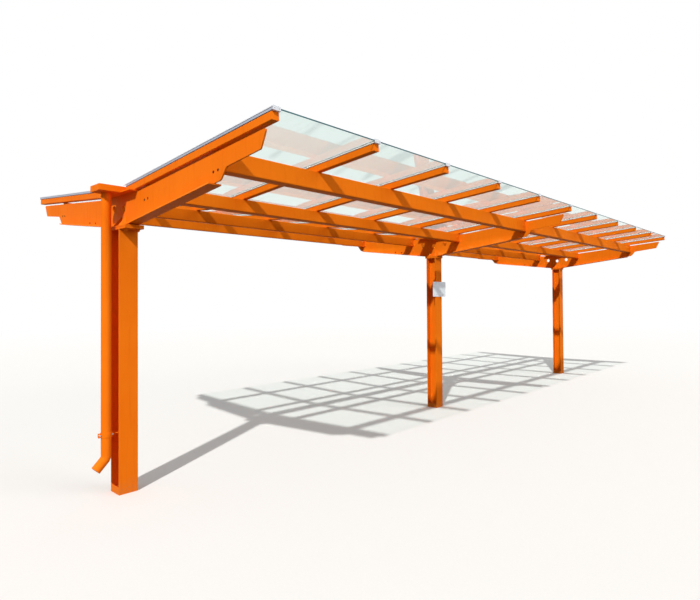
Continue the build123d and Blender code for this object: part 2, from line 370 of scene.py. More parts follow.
def roof_glass():
    """Clear float glass with deep green edges, a film of dust on top and run-off marks down the slope."""
    material, tree, shader = new_material(
        "clear roof glass", Metallic=0.0, Transmission_Weight=1.0, IOR=1.5)
    edge = span(tree, maths(tree, "ABSOLUTE", z_of(tree, true_normal(tree))), 0.8, 0.3)
    place = place_of(tree)
    film = span(tree, noise(tree, stretched(tree, place, (1.0, 0.10, 1.0)), 26.0, 3.0, 0.6), 0.48, 0.80)
    specks = span(tree, noise(tree, place, 140.0, 3.0, 0.7), 0.62, 0.80)
    dirt = maths(tree, "MULTIPLY", maths(tree, "ADD", film, specks, clamp=True), 0.30)
    tint = blend_colour(tree, dirt, (0.78, 0.90, 0.865), (0.66, 0.70, 0.64))
    tint = blend_colour(tree, edge, tint, (0.045, 0.27, 0.27))
    ripple = bumped(tree, noise(tree, place, 2.2, 1.0, 0.4), 0.08, 0.002)
    feed(tree, shader, Base_Color=tint, Roughness=maths(tree, "MULTIPLY", dirt, 0.28), Normal=ripple)
    clear = add_node(tree, "ShaderNodeBsdfTransparent")
    feed(tree, clear, Color=(0.91, 0.95, 0.94))
    path = add_node(tree, "ShaderNodeLightPath").outputs
    soft_light = mix_shaders(tree, path["Is Diffuse Ray"], shader.outputs[0], clear.outputs[0])
    lets_through = mix_shaders(tree, path["Is Shadow Ray"], soft_light, clear.outputs[0])
    join(tree, lets_through, tree.nodes["Material Output"].inputs["Surface"])
    return material


def glass_edge():
    """Polished edge of green float glass, deep teal because it shows the whole width of the pane."""
    material, tree, shader = new_material(
        "polished glass edge", Metallic=0.0, Transmission_Weight=0.1, IOR=1.5, Specular_IOR_Level=0.5)
    place = place_of(tree)
    depth = span(tree, noise(tree, stretched(tree, place, (0.6, 4.0, 9.0)), 9.0, 3.0, 0.6), 0.30, 0.70)
    tone = blend_colour(tree, depth, (0.006, 0.075, 0.100), (0.022, 0.150, 0.170))
    rough = span(tree, noise(tree, place, 160.0), 0.2, 0.8, 0.14, 0.32)
    feed(tree, shader, Base_Color=tone, Roughness=rough)
    return material


def aluminium(name, dark, light, roughness, metallic=1.0):
    """Drawn aluminium with die lines and an oxide bloom; less metallic where it is coated."""
    material, tree, shader = new_material(name, Metallic=metallic)
    marks = use_group(tree, weather, Streak_width=60.0)
    lines = use_group(tree, drawn_lines, Lines=700.0, Strength=0.25)
    tone = blend_colour(tree, span(tree, lines["Mask"], 0.3, 0.7), dark, light)
    tone = stain(tree, span(tree, marks["Clouds"], 0.45, 0.75), 0.25, tone, (0.60, 0.61, 0.62))
    tone = stain(tree, marks["Dust"], 0.30, tone, (0.42, 0.39, 0.34))
    rough = add_share(tree, add_share(tree, roughness, lines["Mask"], 0.18), marks["Dust"], 0.25)
    feed(tree, shader, Base_Color=tone, Roughness=rough, Normal=lines["Normal"])
    return material


def stainless():
    """Turned and tumbled stainless steel of the screws, scuffed here and there."""
    material, tree, shader = new_material("stainless fixings", Metallic=1.0)
    place = place_of(tree)
    scuffs = noise(tree, place, 700.0, 4.0, 0.65)
    tone = blend_colour(tree, span(tree, scuffs, 0.35, 0.70), (0.50, 0.50, 0.51), (0.74, 0.74, 0.75))
    grain = use_group(tree, skin, Grain=900.0, Strength=0.15, Depth=0.0002)
    rough = span(tree, scuffs, 0.2, 0.8, 0.22, 0.46)
    feed(tree, shader, Base_Color=tone, Roughness=rough, Normal=grain["Normal"])
    return material


def gasket_rubber():
    """Matt black sealing strip, greyed by dust where it faces up."""
    material, tree, shader = new_material("black gasket", Specular_IOR_Level=0.35)
    marks = use_group(tree, weather)
    tone = stain(tree, marks["Dust"], 0.5, (0.018, 0.018, 0.019), (0.16, 0.15, 0.13))
    grain = use_group(tree, skin, Grain=1400.0, Strength=0.30, Depth=0.0002)
    rough = span(tree, marks["Clouds"], 0.2, 0.8, 0.62, 0.85)
    feed(tree, shader, Base_Color=tone, Roughness=rough, Normal=grain["Normal"])
    return material


def white_plate():
    """Bare white coated sheet streaked by rain, its white tinted faintly blue as painted skylight."""
    material, tree, shader = new_material("white notice plate", Specular_IOR_Level=0.5)
    marks = use_group(tree, weather, Streak_width=70.0)
    edges = use_group(tree, edge_wear_and_highlight, Radius=0.002, Amount=0.5)
    clouds = span(tree, marks["Clouds"], 0.3, 0.75)
    # The faint blue in this white is painted skylight
    tone = blend_colour(tree, clouds, (0.82, 0.88, 0.95), (0.86, 0.91, 0.97))
    tone = stain(tree, marks["Streaks"], 0.18, tone, (0.52, 0.52, 0.48))
    tone = blend_colour(tree, edges["Mask"], tone, (0.55, 0.56, 0.58))
    grain = use_group(tree, skin, Grain=260.0, Strength=0.08, Depth=0.0004)
    rough = add_share(tree, 0.24, marks["Streaks"], 0.2)
    feed(tree, shader, Base_Color=tone, Roughness=rough, Normal=grain["Normal"])
    return material


def painted_hollow_shade():
    """Painted shade: near-black colour that stands for the unlit hollow seen through a small vent hole."""
    material, tree, shader = new_material("painted hollow shade", Specular_IOR_Level=0.1)
    place = place_of(tree)
    tone = blend_colour(tree, noise(tree, place, 60.0, 2.0), (0.012, 0.004, 0.002), (0.030, 0.010, 0.004))
    rough = span(tree, noise(tree, place, 200.0), 0.2, 0.8, 0.7, 0.95)
    feed(tree, shader, Base_Color=tone, Roughness=rough)
    return material


paint = orange_paint()
glass = roof_glass()
bar_metal = aluminium("pale aluminium glazing bar", (0.84, 0.83, 0.81), (0.91, 0.90, 0.88), 0.42, 0.10)
cap_metal = aluminium("pale aluminium glazing cap", (0.66, 0.69, 0.74), (0.74, 0.77, 0.82), 0.36, 0.20)
# The edge trim's darker blue grey is a painted reflection of the sky on plain aluminium
trim_metal = aluminium("blue grey edge trim", (0.34, 0.38, 0.47), (0.42, 0.46, 0.57), 0.38, 0.20)
steel = stainless()
rubber = gasket_rubber()
plate_white = white_plate()
# Painted shade for the unlit hollows behind the vent holes
hollow_shade_paint = painted_hollow_shade()
teal_edge = glass_edge()
OTHER_FINISHES = {"roof_glass": glass, "glazing_bars": bar_metal, "glazing_caps": cap_metal}


def finish_of(name):
    """The glass and aluminium nodes by their names, and paint for all the rest."""
    for start, material in OTHER_FINISHES.items():
        if name.startswith(start):
            return material
    return paint


for name, node in nodes.items():
    for material_slot in node.material_slots:
        material_slot.material = finish_of(name)


# Making pieces


def add_object(name, mesh):
    """An object in the scene with the given mesh."""
    thing = bpy.data.objects.new(name, mesh)
    bpy.context.scene.collection.objects.link(thing)
    return thing


def mesh_from(name, form):
    """Turn a bmesh into a named mesh, with its faces pointing out."""
    bmesh.ops.recalc_face_normals(form, faces=form.faces)
    mesh = bpy.data.meshes.new(name)
    form.to_mesh(mesh)
    form.free()
    return mesh


def smooth_by_angle(mesh, degrees=32.0):
    """Shade a mesh smooth, but for edges sharper than the given angle."""
    mesh.polygons.foreach_set("use_smooth", [True] * len(mesh.polygons))
    mesh.set_sharp_from_angle(angle=math.radians(degrees))


def settle(thing):
    """Swap an object's mesh for what its modifiers make of it, and take the modifiers off."""
    evaluated = thing.evaluated_get(bpy.context.evaluated_depsgraph_get())
    made = bpy.data.meshes.new_from_object(evaluated)
    thing.modifiers.clear()
    thing.data = made
    return thing


def fit(thing, material=None):
    """Put a finished piece on the root body, with the given material on it if there is one."""
    if material is not None:
        thing.data.materials.clear()
        thing.data.materials.append(material)
    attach(thing, "root")


def ring_of(form, radius, height, count):
    """Add a ring of points around the Z axis, or one point on it where the radius is 0."""
    if radius == 0:
        return [form.verts.new((0, 0, height))]
    angles = [2 * math.pi * k / count for k in range(count)]
    return [form.verts.new((radius * math.cos(a), radius * math.sin(a), height)) for a in angles]


def bridge(form, low, high):
    """Add the faces between two rings, or between a ring and a single point."""
    count = max(len(low), len(high))
    for k in range(count):
        m = (k + 1) % count
        corners = [low[k % len(low)], low[m % len(low)], high[m % len(high)], high[k % len(high)]]
        form.faces.new(list(dict.fromkeys(corners)))


def closed_block(form, rings):
    """Add the faces of a solid between its rings, closed at both ends."""
    for low, high in zip(rings, rings[1:]):
        bridge(form, low, high)
    form.faces.new(rings[0][::-1])
    form.faces.new(rings[-1])


def lathe(form, profile, segments):
    """Add a turned shape to a bmesh from (radius, height) pairs; a radius of 0 closes it."""
    rings = [ring_of(form, radius, height, segments) for radius, height in profile]
    for low, high in zip(rings, rings[1:]):
        bridge(form, low, high)


def hex_block(form, across, height, base, chamfer):
    """Add a hexagon head or nut with its top edge chamfered."""
    corner = across / math.sqrt(3)
    profile = ((corner, 0.0), (corner, height - chamfer), (corner - 1.7 * chamfer, height))
    closed_block(form, [ring_of(form, radius, base + z, 6) for radius, z in profile])


def washer(form, radius, bore, thick):
    """Add a flat washer with eased edges, sitting on z = 0."""
    edge = 0.25 * thick
    profile = ((bore, 0), (radius - edge, 0), (radius, edge), (radius, thick - edge),
               (radius - edge, thick), (bore, thick), (bore, 0))
    lathe(form, profile, 20)


def hex_bolt(size):
    """Hexagon head on a washer, sitting on z = 0. Size is the thread's diameter."""
    form = bmesh.new()
    thick = 0.15 * size
    washer(form, 0.95 * size, 0.55 * size, thick)
    hex_block(form, 1.5 * size, 0.64 * size, thick, 0.08 * size)
    return form


def hex_nut(size):
    """Washer, nut and a few rings of thread past it, sitting on z = 0."""
    form = hex_bolt(size)
    start, ridges, pitch = 0.70 * size, 4, 0.10 * size
    profile = [(0.44 * size, start)]
    for ridge in range(ridges):
        low = start + ridge * pitch
        profile += [(0.50 * size, low + 0.35 * pitch), (0.44 * size, low + pitch)]
    end = start + ridges * pitch + 0.06 * size
    profile += [(0.36 * size, end), (0.0, end)]
    lathe(form, profile, 14)
    return form


def button_head(size):
    """Low domed screw head with a round recess, on a washer."""
    form = bmesh.new()
    thick = 0.12 * size
    washer(form, 1.15 * size, 0.5 * size, thick)
    head, socket = 0.90 * size, 0.34 * size
    rise, foot = 0.52 * size, 0.7 * head
    arc = [(head * math.cos(a), thick + rise * math.sin(a)) for a in (0.0, 0.35, 0.70, 1.05)]
    profile = [(foot, thick), *arc, (socket, thick + rise), (socket * 0.92, thick + rise * 0.35),
               (0.0, thick + rise * 0.30)]
    lathe(form, profile, 18)
    return form


def sealing_screw(size):
    """Small hexagon screw with a flange and a sealing washer, for the glazing caps."""
    form = bmesh.new()
    profile = ((0.0, 0.0), (1.25 * size, 0.0), (1.25 * size, 0.10 * size), (0.95 * size, 0.30 * size),
               (0.85 * size, 0.30 * size), (0.85 * size, 0.42 * size), (0.0, 0.44 * size))
    lathe(form, profile, 16)
    hex_block(form, 1.25 * size, 0.42 * size, 0.42 * size, 0.07 * size)
    return form


def countersunk_head(size):
    """Flat screw head, a little proud, with a round recess. Size is the head's diameter."""
    form = bmesh.new()
    rim, rise, socket = 0.5 * size, 0.09 * size, 0.22 * size
    profile = ((0.0, -0.03 * size), (rim, -0.03 * size), (rim, 0.4 * rise), (0.85 * rim, rise),
               (socket, rise), (socket * 0.92, 0.2 * rise), (0.0, 0.1 * rise))
    lathe(form, profile, 14)
    return form


def rivet_head(size):
    """Low dome of a blind rivet. Size is the head's radius."""
    form = bmesh.new()
    arc = [(size * math.cos(a), 0.45 * size * math.sin(a)) for a in (0.0, 0.4, 0.8, 1.2)]
    lathe(form, [(0.0, 0.0), *arc, (0.0, 0.45 * size)], 16)
    return form


# Geometry trees


def geometry_group(name, inputs):
    """An empty geometry tree with named inputs; returns the tree, its inputs and its output socket."""
    solid = ("Geometry", "Geometry")
    tree, values, outputs = node_group("GeometryNodeTree", name, [(*solid, None), *inputs], [solid])
    return tree, values, outputs[0]


def close_tree(tree, geometry, material, output):
    """Every tree ends the same way: real geometry with a material on it."""
    real = add_node(tree, "GeometryNodeRealizeInstances")
    feed(tree, real, Geometry=geometry)
    finished = add_node(tree, "GeometryNodeSetMaterial")
    feed(tree, finished, Geometry=real.outputs["Geometry"], Material=material)
    join(tree, finished.outputs["Geometry"], output)


def random_number(tree, most, seed):
    """A seeded number for each element, from 0 up to most."""
    node = add_node(tree, "FunctionNodeRandomValue", data_type="FLOAT")
    join(tree, 0.0, node.inputs[2])
    join(tree, most, node.inputs[3])
    feed(tree, node, Seed=seed)
    return node.outputs[1]


def build_fixings_tree():
    """Sets one fixing on every point, its foot on the point and its axis along the point's facing."""
    tree, inputs, output = geometry_group(
        "fixings",
        [("Fixing", "Object", None), ("Size", "Float", 1.0), ("Loose turn", "Float", 0.5),
         ("Seed", "Int", 7), ("Material", "Material", None)],
    )
    shape = add_node(tree, "GeometryNodeObjectInfo")
    feed(tree, shape, Object=inputs["Fixing"])
    facing = add_node(tree, "GeometryNodeInputNamedAttribute", data_type="FLOAT_VECTOR")
    feed(tree, facing, Name="facing")
    aim = add_node(tree, "FunctionNodeAlignRotationToVector", axis="Z")
    feed(tree, aim, Vector=facing.outputs["Attribute"])
    turn = add_node(tree, "FunctionNodeAxisAngleToRotation")
    angle = random_number(tree, inputs["Loose turn"], inputs["Seed"])
    feed(tree, turn, Axis=(0, 0, 1), Angle=angle)
    turned = add_node(tree, "FunctionNodeRotateRotation", rotation_space="LOCAL")
    feed(tree, turned, Rotation=aim.outputs["Rotation"], Rotate_By=turn.outputs["Rotation"])
    spots = add_node(tree, "GeometryNodeMeshToPoints")
    feed(tree, spots, Mesh=inputs["Geometry"])
    copies = add_node(tree, "GeometryNodeInstanceOnPoints")
    feed(tree, copies, Points=spots.outputs["Points"], Instance=shape.outputs["Geometry"],
         Rotation=turned.outputs["Rotation"], Scale=inputs["Size"])
    close_tree(tree, copies.outputs["Instances"], inputs["Material"], output)
    return tree


def build_weld_tree():
    """Runs a rippled bead along every line of the mesh."""
    tree, inputs, output = geometry_group(
        "weld bead",
        [("Bead", "Float", 0.004), ("Ripple pitch", "Float", 0.005), ("Ripple", "Float", 0.16),
         ("Wander", "Float", 0.10), ("Seed", "Int", 3), ("Material", "Material", None)],
    )
    line = add_node(tree, "GeometryNodeMeshToCurve")
    feed(tree, line, Mesh=inputs["Geometry"])
    steps = add_node(tree, "GeometryNodeResampleCurve", mode="LENGTH")
    step = maths(tree, "MULTIPLY", inputs["Ripple pitch"], 0.5)
    feed(tree, steps, Curve=line.outputs["Curve"], Length=step)
    parity = maths(tree, "MODULO", add_node(tree, "GeometryNodeInputIndex").outputs[0], 2.0)
    wave = maths(tree, "MULTIPLY", parity, inputs["Ripple"])
    shrink = maths(tree, "ADD", wave, random_number(tree, inputs["Wander"], inputs["Seed"]))
    ring = add_node(tree, "GeometryNodeCurvePrimitiveCircle")
    feed(tree, ring, Resolution=6, Radius=inputs["Bead"])
    bead = add_node(tree, "GeometryNodeCurveToMesh")
    feed(tree, bead, Curve=steps.outputs["Curve"], Profile_Curve=ring.outputs["Curve"],
         Scale=maths(tree, "SUBTRACT", 1.0, shrink), Fill_Caps=True)
    close_tree(tree, bead.outputs["Mesh"], inputs["Material"], output)
    return tree


def build_strip_tree():
    """Runs a thin strip of a given width and height along every line of the mesh."""
    tree, inputs, output = geometry_group(
        "sealing strip",
        [("Width", "Float", 0.003), ("Height", "Float", 0.002), ("Material", "Material", None)],
    )
    line = add_node(tree, "GeometryNodeMeshToCurve")
    feed(tree, line, Mesh=inputs["Geometry"])
    outline = add_node(tree, "GeometryNodeCurvePrimitiveQuadrilateral")
    feed(tree, outline, Width=inputs["Width"], Height=inputs["Height"])
    strip = add_node(tree, "GeometryNodeCurveToMesh")
    feed(tree, strip, Curve=line.outputs["Curve"], Profile_Curve=outline.outputs["Curve"], Fill_Caps=True)
    close_tree(tree, strip.outputs["Mesh"], inputs["Material"], output)
    return tree


fixings_tree = build_fixings_tree()
weld_tree = build_weld_tree()
strip_tree = build_strip_tree()


def grow(thing, tree, **values):
    """Run a geometry tree on an object with the given named inputs, and keep the plain mesh."""
    modifier = thing.modifiers.new(tree.name, "NODES")
    modifier.node_group = tree
    keys = {item.name: item.identifier for item in tree.interface.items_tree if item.in_out == "INPUT"}
    for name, value in values.items():
        modifier[keys[name.replace("_", " ")]] = value
    return settle(thing)


def fixings(name, shape, size, spots, material=None):
    """One piece made of the same fixing on many spots, each given as (place, facing)."""
    pattern = add_object(name + "_pattern", mesh_from(name + "_pattern", shape(size)))
    smooth_by_angle(pattern.data)
    mesh = bpy.data.meshes.new(name)
    mesh.from_pydata([tuple(place) for place, facing in spots], [], [])
    facings = mesh.attributes.new("facing", "FLOAT_VECTOR", "POINT")
    facings.data.foreach_set("vector", [c for place, facing in spots for c in Vector(facing).normalized()])
    thing = grow(add_object(name, mesh), fixings_tree, Fixing=pattern, Size=1.0, Loose_turn=math.pi,
                 Material=material or steel)
    bpy.data.objects.remove(pattern)
    fit(thing)


def lines_object(name, lines):
    """A mesh of lines only, one run of edges for each list of points."""
    points, edges = [], []
    for line in lines:
        first = len(points)
        points += [tuple(point) for point in line]
        edges += [(first + k, first + k + 1) for k in range(len(line) - 1)]
    mesh = bpy.data.meshes.new(name)
    mesh.from_pydata(points, edges, [])
    return add_object(name, mesh)


# Cross arms with their vent holes

VENT_RADIUS = 10.5 * MM
VENT_RECESS = 1.5 * MM
VENT_SPREAD = 28 * MM
VENT_LIFT = 8 * MM
SHADE_DISC_GAP = 0.3 * MM
SHADE_DISC_DISH = 1 * MM
PURLIN_PLACE = {"inner": 403 * MM, "outer": 1402 * MM}
PURLIN_DEPTH = {"inner": 120 * MM, "outer": 150 * MM}
PURLIN_HALF = 40 * MM
EXTRA_VENTS = (600 * MM, 725 * MM)
EXTRA_VENT_LIFT = 20 * MM
HEAD_PLATE_EASE = 3 * MM


def purlin_bottom(row, offset=0.0):
    """Height of a purlin's underside, offset across it."""
    middle = rafter_underside(PURLIN_PLACE[row]) - PURLIN_DEPTH[row] / math.cos(ROOF_SLOPE)
    return middle + math.tan(ROOF_SLOPE) * offset


def vent_places():
    """(y, z) of the vent holes: two at the foot of each purlin's end, and two over the left flange."""
    places = []
    for sign in SIDE_SIGN.values():
        for row in PURLIN_PLACE:
            for offset in (-VENT_SPREAD, VENT_SPREAD):
                z = purlin_bottom(row, offset) + VENT_LIFT
                places.append((sign * (PURLIN_PLACE[row] + offset), z))
    places += [(y, flange_top(y) + EXTRA_VENT_LIFT) for y in EXTRA_VENTS]
    return places


def drill_mesh(x):
    """Cylinders through an arm's web at x, one for each vent hole."""
    form = bmesh.new()
    for y, z in vent_places():
        turn = Matrix.Translation((x, y, z)) @ Matrix.Rotation(math.pi / 2, 4, "Y")
        bmesh.ops.create_cone(form, cap_ends=True, segments=24, radius1=VENT_RADIUS, radius2=VENT_RADIUS,
                              depth=6 * WEB_HALF, matrix=turn)
    return mesh_from("drill", form)


def dressed_arm(name):
    """The arm as packed, its base plate's lower edge eased and small vent holes drilled through its web."""
    node = nodes[f"cross_arm_{name}"]
    form = bmesh.new()
    form.from_mesh(node.data)
    bmesh.ops.remove_doubles(form, verts=form.verts, dist=1e-5)
    bmesh.ops.dissolve_limit(form, angle_limit=math.radians(0.5), verts=form.verts, edges=form.edges)
    plate_foot = HEAD_TOP - HEAD_PLATE
    rim = [edge for edge in form.edges if all(abs(v.co.z - plate_foot) < 1e-4 for v in edge.verts)]
    bmesh.ops.bevel(form, geom=rim, offset=HEAD_PLATE_EASE, segments=1, affect="EDGES")
    mesh = bpy.data.meshes.new(f"arm_{name}")
    form.to_mesh(mesh)
    form.free()
    arm = add_object(f"arm_{name}", mesh)
    drill = add_object("drill", drill_mesh(FRAME_X[name]))
    cut = arm.modifiers.new("vents", "BOOLEAN")
    cut.operation, cut.solver, cut.object = "DIFFERENCE", "EXACT", drill
    settle(arm)
    bpy.data.objects.remove(drill)
    smooth_by_angle(arm.data)
    fit(arm, paint)
    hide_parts(f"cross_arm_{name}")


def painted_vent_shades(name):
    """Dished near-black discs a little behind the web's faces, painted shade for the unlit hollow behind
    each vent hole.
    """
    form = bmesh.new()
    face = WEB_HALF - VENT_RECESS
    rim = VENT_RADIUS - SHADE_DISC_GAP
    dish = [(0, face - SHADE_DISC_DISH), (0.6 * rim, face - 0.6 * SHADE_DISC_DISH), (0.85 * rim, face), (rim, face)]
    profile = [(radius, -height) for radius, height in dish] + dish[::-1]
    for y, z in vent_places():
        first = len(form.verts)
        lathe(form, profile, 20)
        form.verts.ensure_lookup_table()
        turn = Matrix.Translation((FRAME_X[name], y, z)) @ Matrix.Rotation(math.pi / 2, 4, "Y")
        bmesh.ops.transform(form, matrix=turn, verts=form.verts[first:])
    shade_discs = add_object(f"vent_plugs_{name}", mesh_from(f"vent_plugs_{name}", form))
    smooth_by_angle(shade_discs.data)
    fit(shade_discs, hollow_shade_paint)


# Each arm gets its vent holes, and near-black discs in them as painted shade of the hollow behind
for name in FRAMES:
    dressed_arm(name)
    painted_vent_shades(name)


# Welds

WELD = 4.5 * MM
WELD_RIPPLE = 6 * MM


def arm_weld_lines(name):
    """Fillets between the arm's web, flanges, gussets and base plate."""
    x = FRAME_X[name]
    lines = []
    start = ARM_FLANGE_ROOT - ARM_FLANGE_LAP
    for sign in (-1, 1):
        for face in (-WEB_HALF, WEB_HALF):
            reach = (start + 2 * WELD, ARM_FLANGE_REACH)
            lines.append([(x + face, sign * y, flange_top(y)) for y in reach])
            lines.append([(x + face, 0, HEAD_TOP), (x + face, sign * start, HEAD_TOP)])
        ends = (-ARM_FLANGE_HALF, ARM_FLANGE_HALF)
        lines.append([(x + end, sign * ARM_FLANGE_ROOT, HEAD_TOP) for end in ends])
        y = sign * GUSSET_FACE
        for side in (-1, 1):
            corner = (x + side * WEB_HALF, y, HEAD_TOP)
            lines.append([corner, (x + side * GUSSET_REACH, y, HEAD_TOP)])
            lines.append([corner, (x + side * WEB_HALF, y, HEAD_TOP + GUSSET_HEIGHT)])
    return lines


def column_weld_lines(name):
    """Fillets under the cap plate: outside along the flanges, and inside from tip to tip over the web."""
    x = FRAME_X[name]
    tip, lip, web, root = COLUMN_HALF - WELD, COLUMN_HALF - FLANGE, COLUMN_WEB_HALF, COLUMN_ROOT
    lines = [[(x + end, y, CAP_UNDERSIDE) for end in (-tip, tip)] for y in (-COLUMN_HALF, COLUMN_HALF)]
    half = [(tip, lip), (web + root, lip), (web + 0.3 * root, lip - 0.3 * root), (web, lip - root)]
    inside = half + [(a, -b) for a, b in reversed(half)]
    for side in (-1, 1):
        lines.append([(x + side * a, b, CAP_UNDERSIDE) for a, b in inside])
    return lines


for name in FRAMES:
    seams = lines_object(f"welds_{name}", arm_weld_lines(name) + column_weld_lines(name))
    grow(seams, weld_tree, Bead=WELD, Ripple_pitch=WELD_RIPPLE, Material=paint)
    smooth_by_angle(seams.data, 60.0)
    fit(seams)


# Bolts and screws

HEAD_BOLT = 20 * MM
HEAD_BOLT_PLACE = {"near": (50 * MM, 142 * MM), "middle": (46 * MM, 22 * MM), "far": (46 * MM, 22 * MM)}
PURLIN_SCREW = 12 * MM
PURLIN_SCREW_INSET = 62 * MM
CAP_SCREW = 6.3 * MM
CAP_SCREWS = 7
END_SCREW = 9 * MM
END_SCREW_OUT = 18 * MM
END_SCREW_LEVEL = 68 * MM
CLAMP_BOLT = 8 * MM
CLAMP_HEIGHT = 505 * MM
CLAMP_LUG_FACE = 9 * MM
CLAMP_LUG_OUT = 52 * MM
PIPE_RADIUS = 40 * MM
PAD_SCREW = 8 * MM
PAD_THICK = 6 * MM
PAD_SCREW_OUT = 13 * MM


def head_bolt_spots(z, facing):
    """Outside the flanges on the near head's long plates, and between the gussets on the short ones."""
    spots = []
    for name, (across, along) in HEAD_BOLT_PLACE.items():
        spots += [((FRAME_X[name] + a * across, b * along, z), facing) for a in (-1, 1) for b in (-1, 1)]
    return spots


fixings("head_bolts", hex_bolt, HEAD_BOLT, head_bolt_spots(HEAD_TOP, (0, 0, 1)), paint)
fixings("head_nuts", hex_nut, HEAD_BOLT, head_bolt_spots(CAP_UNDERSIDE, (0, 0, -1)), paint)


def purlin_screw_spots():
    """Near both ends of each purlin: one screw in each side and one from below."""
    spots = []
    for side, sign in SIDE_SIGN.items():
        up, out = slope_normal(side), down_slope(side)
        for row, place in PURLIN_PLACE.items():
            for bay in BAYS:
                low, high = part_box(f"purlin_{side}_{row}_{bay}_bay")
                for x in (low.x + PURLIN_SCREW_INSET, high.x - PURLIN_SCREW_INSET):
                    top = Vector((x, sign * place, rafter_underside(place)))
                    middle = top - up * PURLIN_DEPTH[row] / 2
                    spots += [(middle + out * PURLIN_HALF, out), (middle - out * PURLIN_HALF, -out)]
                    spots.append((top - up * PURLIN_DEPTH[row], -up))
    return spots


fixings("purlin_screws", button_head, PURLIN_SCREW, purlin_screw_spots(), paint)


def clamp_bolt_spots(facing):
    """Through both pairs of lugs, before and behind the downpipe."""
    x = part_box("downpipe")[1].x - PIPE_RADIUS
    return [((x + step, facing * CLAMP_LUG_FACE, CLAMP_HEIGHT), (0, facing, 0))
            for step in (-CLAMP_LUG_OUT, CLAMP_LUG_OUT)]


def pad_screw_spots():
    """Four screws through the clamp's pad into the column's web."""
    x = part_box("column_near")[0].x + COLUMN_HALF - COLUMN_WEB_HALF - PAD_THICK
    return [((x, y, CLAMP_HEIGHT + z), (-1, 0, 0))
            for y in (-PAD_SCREW_OUT, PAD_SCREW_OUT) for z in (-PAD_SCREW_OUT, PAD_SCREW_OUT)]


fixings("clamp_bolts", hex_bolt, CLAMP_BOLT, clamp_bolt_spots(-1))
fixings("clamp_nuts", hex_nut, CLAMP_BOLT, clamp_bolt_spots(1))
fixings("pad_screws", countersunk_head, PAD_SCREW, pad_screw_spots())


def rafter_x(side, index):
    """Middle of a rafter across the slope."""
    low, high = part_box(f"rafter_{side}_{index:02d}")
    return (low.x + high.x) / 2


def cap_screw_spots(side):
    """Evenly spaced along the top of each cap."""
    spots = []
    for index in RAFTERS:
        for step in range(CAP_SCREWS):
            y = CAP_START + (GLASS_END - CAP_START) * (step + 0.5) / CAP_SCREWS
            spots.append((slope_point(side, rafter_x(side, index), y, CAP_TOP), slope_normal(side)))
    return spots


def end_plate_spots(side):
    """Two small screws on the plate that closes each glazing bar at the eave."""
    spots = []
    for index in RAFTERS:
        for across in (-END_SCREW_OUT, END_SCREW_OUT):
            face = slope_point(side, rafter_x(side, index) + across, square_end(GLASS_TOP), END_SCREW_LEVEL)
            spots.append((face + down_slope(side) * END_PLATE, down_slope(side)))
    return spots


for side in SIDES:
    fixings(f"cap_screws_{side}", sealing_screw, CAP_SCREW, cap_screw_spots(side))
    fixings(f"end_plate_screws_{side}", countersunk_head, END_SCREW, end_plate_spots(side))


# Seals, edge trim and glass edges

CAP_SEAL_WIDTH = 0.9 * MM
CAP_SEAL_HEIGHT = 1.6 * MM
STRIP_START = 97 * MM
STRIP_INSET = 2 * MM
SEAM = 0.1 * MM
SOFT_ARRIS = 0.5 * MM
METAL_ARRIS = 0.3 * MM
SIDE_COVER = 3.3 * MM
FOOT_GASKET = 1.8 * MM
FOOT_GASKET_PROUD = 2.7 * MM
ROOF_ENDS = ((RAFTERS[0], -1), (RAFTERS[-1], 1))
TRIM_THICK = 0.9 * MM
TRIM_FOOT = 3.8 * MM
EDGE_GASKET = 1.5 * MM
GLASS_EDGE = 0.5 * MM


def bar_edges(side, half):
    """(x, outward) of both long edges of every bar in a wing, without the roof's own two ends."""
    return [(rafter_x(side, index) + edge * half, edge) for index in RAFTERS for edge in (-1, 1)
            if (index, edge) not in ROOF_ENDS]


def roof_ends(side):
    """(x, outward) of the outer faces of a wing's first and last bar."""
    return [(rafter_x(side, index) + edge * BAR_HALF, edge) for index, edge in ROOF_ENDS]


def cap_seals(side):
    """Thin lips of rubber on the glass, along both edges of each cap."""
    level = GLASS_TOP + CAP_SEAL_HEIGHT / 2
    ends = (CAP_START + STRIP_INSET, GLASS_END - STRIP_INSET)
    lines = [[slope_point(side, x + edge * CAP_SEAL_WIDTH / 2, y, level) for y in ends]
             for x, edge in bar_edges(side, CAP_HALF)]
    seals = lines_object(f"cap_seals_{side}", lines)
    grow(seals, strip_tree, Width=CAP_SEAL_WIDTH, Height=CAP_SEAL_HEIGHT, Material=rubber)
    fit(seals)


def add_prism(form, ends, section):
    """Add a bar with the given (across, up) section between two ends, each (place, across, up)."""
    closed_block(form, [[form.verts.new(place + across * a + up * b) for a, b in section]
                        for place, across, up in ends])


def standing_strip(thick, low, high, arris):
    """Section of a thin strip that stands on its edge, with both outer arrises taken off."""
    return ((0, low), (thick - arris, low), (thick, low + arris),
            (thick, high - arris), (thick - arris, high), (0, high))


def side_strips(name, side, edges, section, material):
    """One strip with the given section down each of the given (x, outward) faces of the bars."""
    form = bmesh.new()
    for x, outward in edges:
        ends = [(slope_point(side, x, y, 0), Vector((outward, 0, 0)), slope_normal(side))
                for y in (STRIP_START, square_end(BAR_FOOT) - SOFT_ARRIS)]
        add_prism(form, ends, section)
    fit(add_object(f"{name}_{side}", mesh_from(f"{name}_{side}", form)), material)


def glass_edges(side):
    """The panes' polished edges at the eave, between the end plates of the bars."""
    form = bmesh.new()
    section = standing_strip(GLASS_EDGE, GLASS_LOW, GLASS_TOP, METAL_ARRIS)
    for index in RAFTERS[:-1]:
        between = (rafter_x(side, index) + CAP_HALF, rafter_x(side, index + 1) - CAP_HALF)
        ends = [(slope_point(side, x, square_end(GLASS_LOW), 0), down_slope(side), slope_normal(side))
                for x in between]
        add_prism(form, ends, section)
    fit(add_object(f"glass_edges_{side}", mesh_from(f"glass_edges_{side}", form)), teal_edge)


